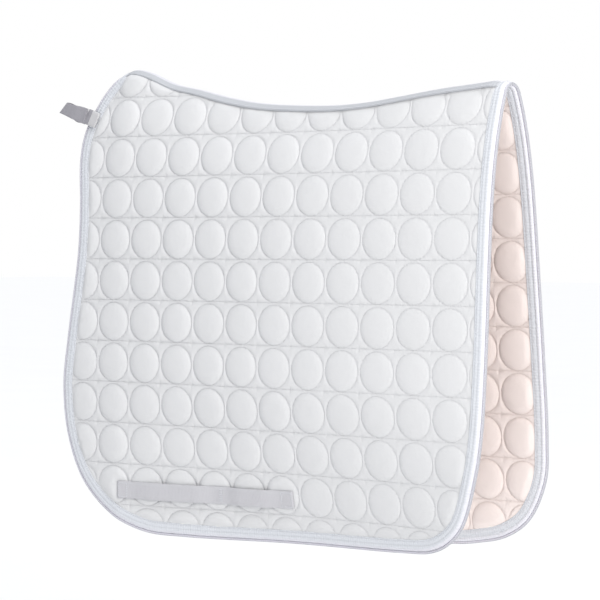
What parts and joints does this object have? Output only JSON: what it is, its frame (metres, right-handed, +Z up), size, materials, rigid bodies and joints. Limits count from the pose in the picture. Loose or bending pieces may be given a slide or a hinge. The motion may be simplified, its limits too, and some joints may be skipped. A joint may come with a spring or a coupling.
{
  "type": "saddle pad",
  "caption": "White quilted dressage saddle pad hanging folded over its spine, with bound edges, webbing girth keepers and front tabs.",
  "frame": {"origin": "underside of the spine at its lowest point, where a horse's back or a rail carries the pad", "axes": "+X towards the horse's tail along the spine, -Y to the left flap, +Z up"},
  "size_m": [0.6587, 0.1568, 0.5749],
  "materials": {
    "quilted_cover": "white quilted cotton, matt with a faint sheen",
    "wadding": "soft polyester wadding",
    "lining": "warm white brushed cotton",
    "satin_binding": "bluish white satin tape",
    "piping": "satin-covered cord",
    "webbing": "light grey woven webbing"
  },
  "bodies": {
    "spine": {"left_ridge_cover": "quilted_cover", "left_ridge_wadding": "wadding", "left_ridge_lining": "lining", "left_ridge_front_binding": "satin_binding", "left_ridge_front_piping": "piping", "left_ridge_rear_binding": "satin_binding", "left_ridge_rear_piping": "piping", "left_tab_sewn_end": "webbing", "right_ridge_cover": "quilted_cover", "right_ridge_wadding": "wadding", "right_ridge_lining": "lining", "right_ridge_front_binding": "satin_binding", "right_ridge_front_piping": "piping", "right_ridge_rear_binding": "satin_binding", "right_ridge_rear_piping": "piping", "right_tab_sewn_end": "webbing", "spine_tape_outer": "satin_binding", "spine_tape_inner": "satin_binding"},
    "left_flap": {"left_flap_cover": "quilted_cover", "left_flap_wadding": "wadding", "left_flap_lining": "lining", "left_flap_binding": "satin_binding", "left_flap_piping": "piping", "left_girth_keeper": "webbing"},
    "right_flap": {"right_flap_cover": "quilted_cover", "right_flap_wadding": "wadding", "right_flap_lining": "lining", "right_flap_binding": "satin_binding", "right_flap_piping": "piping", "right_girth_keeper": "webbing"},
    "left_tab": {"left_tab_loop": "webbing"},
    "right_tab": {"right_tab_loop": "webbing"}
  },
  "joints": [
    {"name": "left_flap_swing", "type": "hinge", "parent": "spine", "child": "left_flap", "pos_m": [0, -0.0425, -0.0315], "axis": [-1, 0, 0], "range_deg": [-1, 70], "stiffness_Nm_per_rad": 0.6, "springref_deg": -1.15},
    {"name": "right_flap_swing", "type": "hinge", "parent": "spine", "child": "right_flap", "pos_m": [0, 0.045, -0.0315], "axis": [1, 0, 0], "range_deg": [-8, 66], "stiffness_Nm_per_rad": 0.6, "springref_deg": 8.02},
    {"name": "left_tab_bend", "type": "hinge", "parent": "spine", "child": "left_tab", "pos_m": [-0.36833, -0.0335, 0.0095], "axis": [0.309, 0, 0.9511], "range_deg": [-25, 50], "stiffness_Nm_per_rad": 0.004},
    {"name": "right_tab_bend", "type": "hinge", "parent": "spine", "child": "right_tab", "pos_m": [-0.36833, 0.03559, 0.0095], "axis": [0.1045, 0, -0.9945], "range_deg": [-25, 50], "stiffness_Nm_per_rad": 0.004}
  ]
}
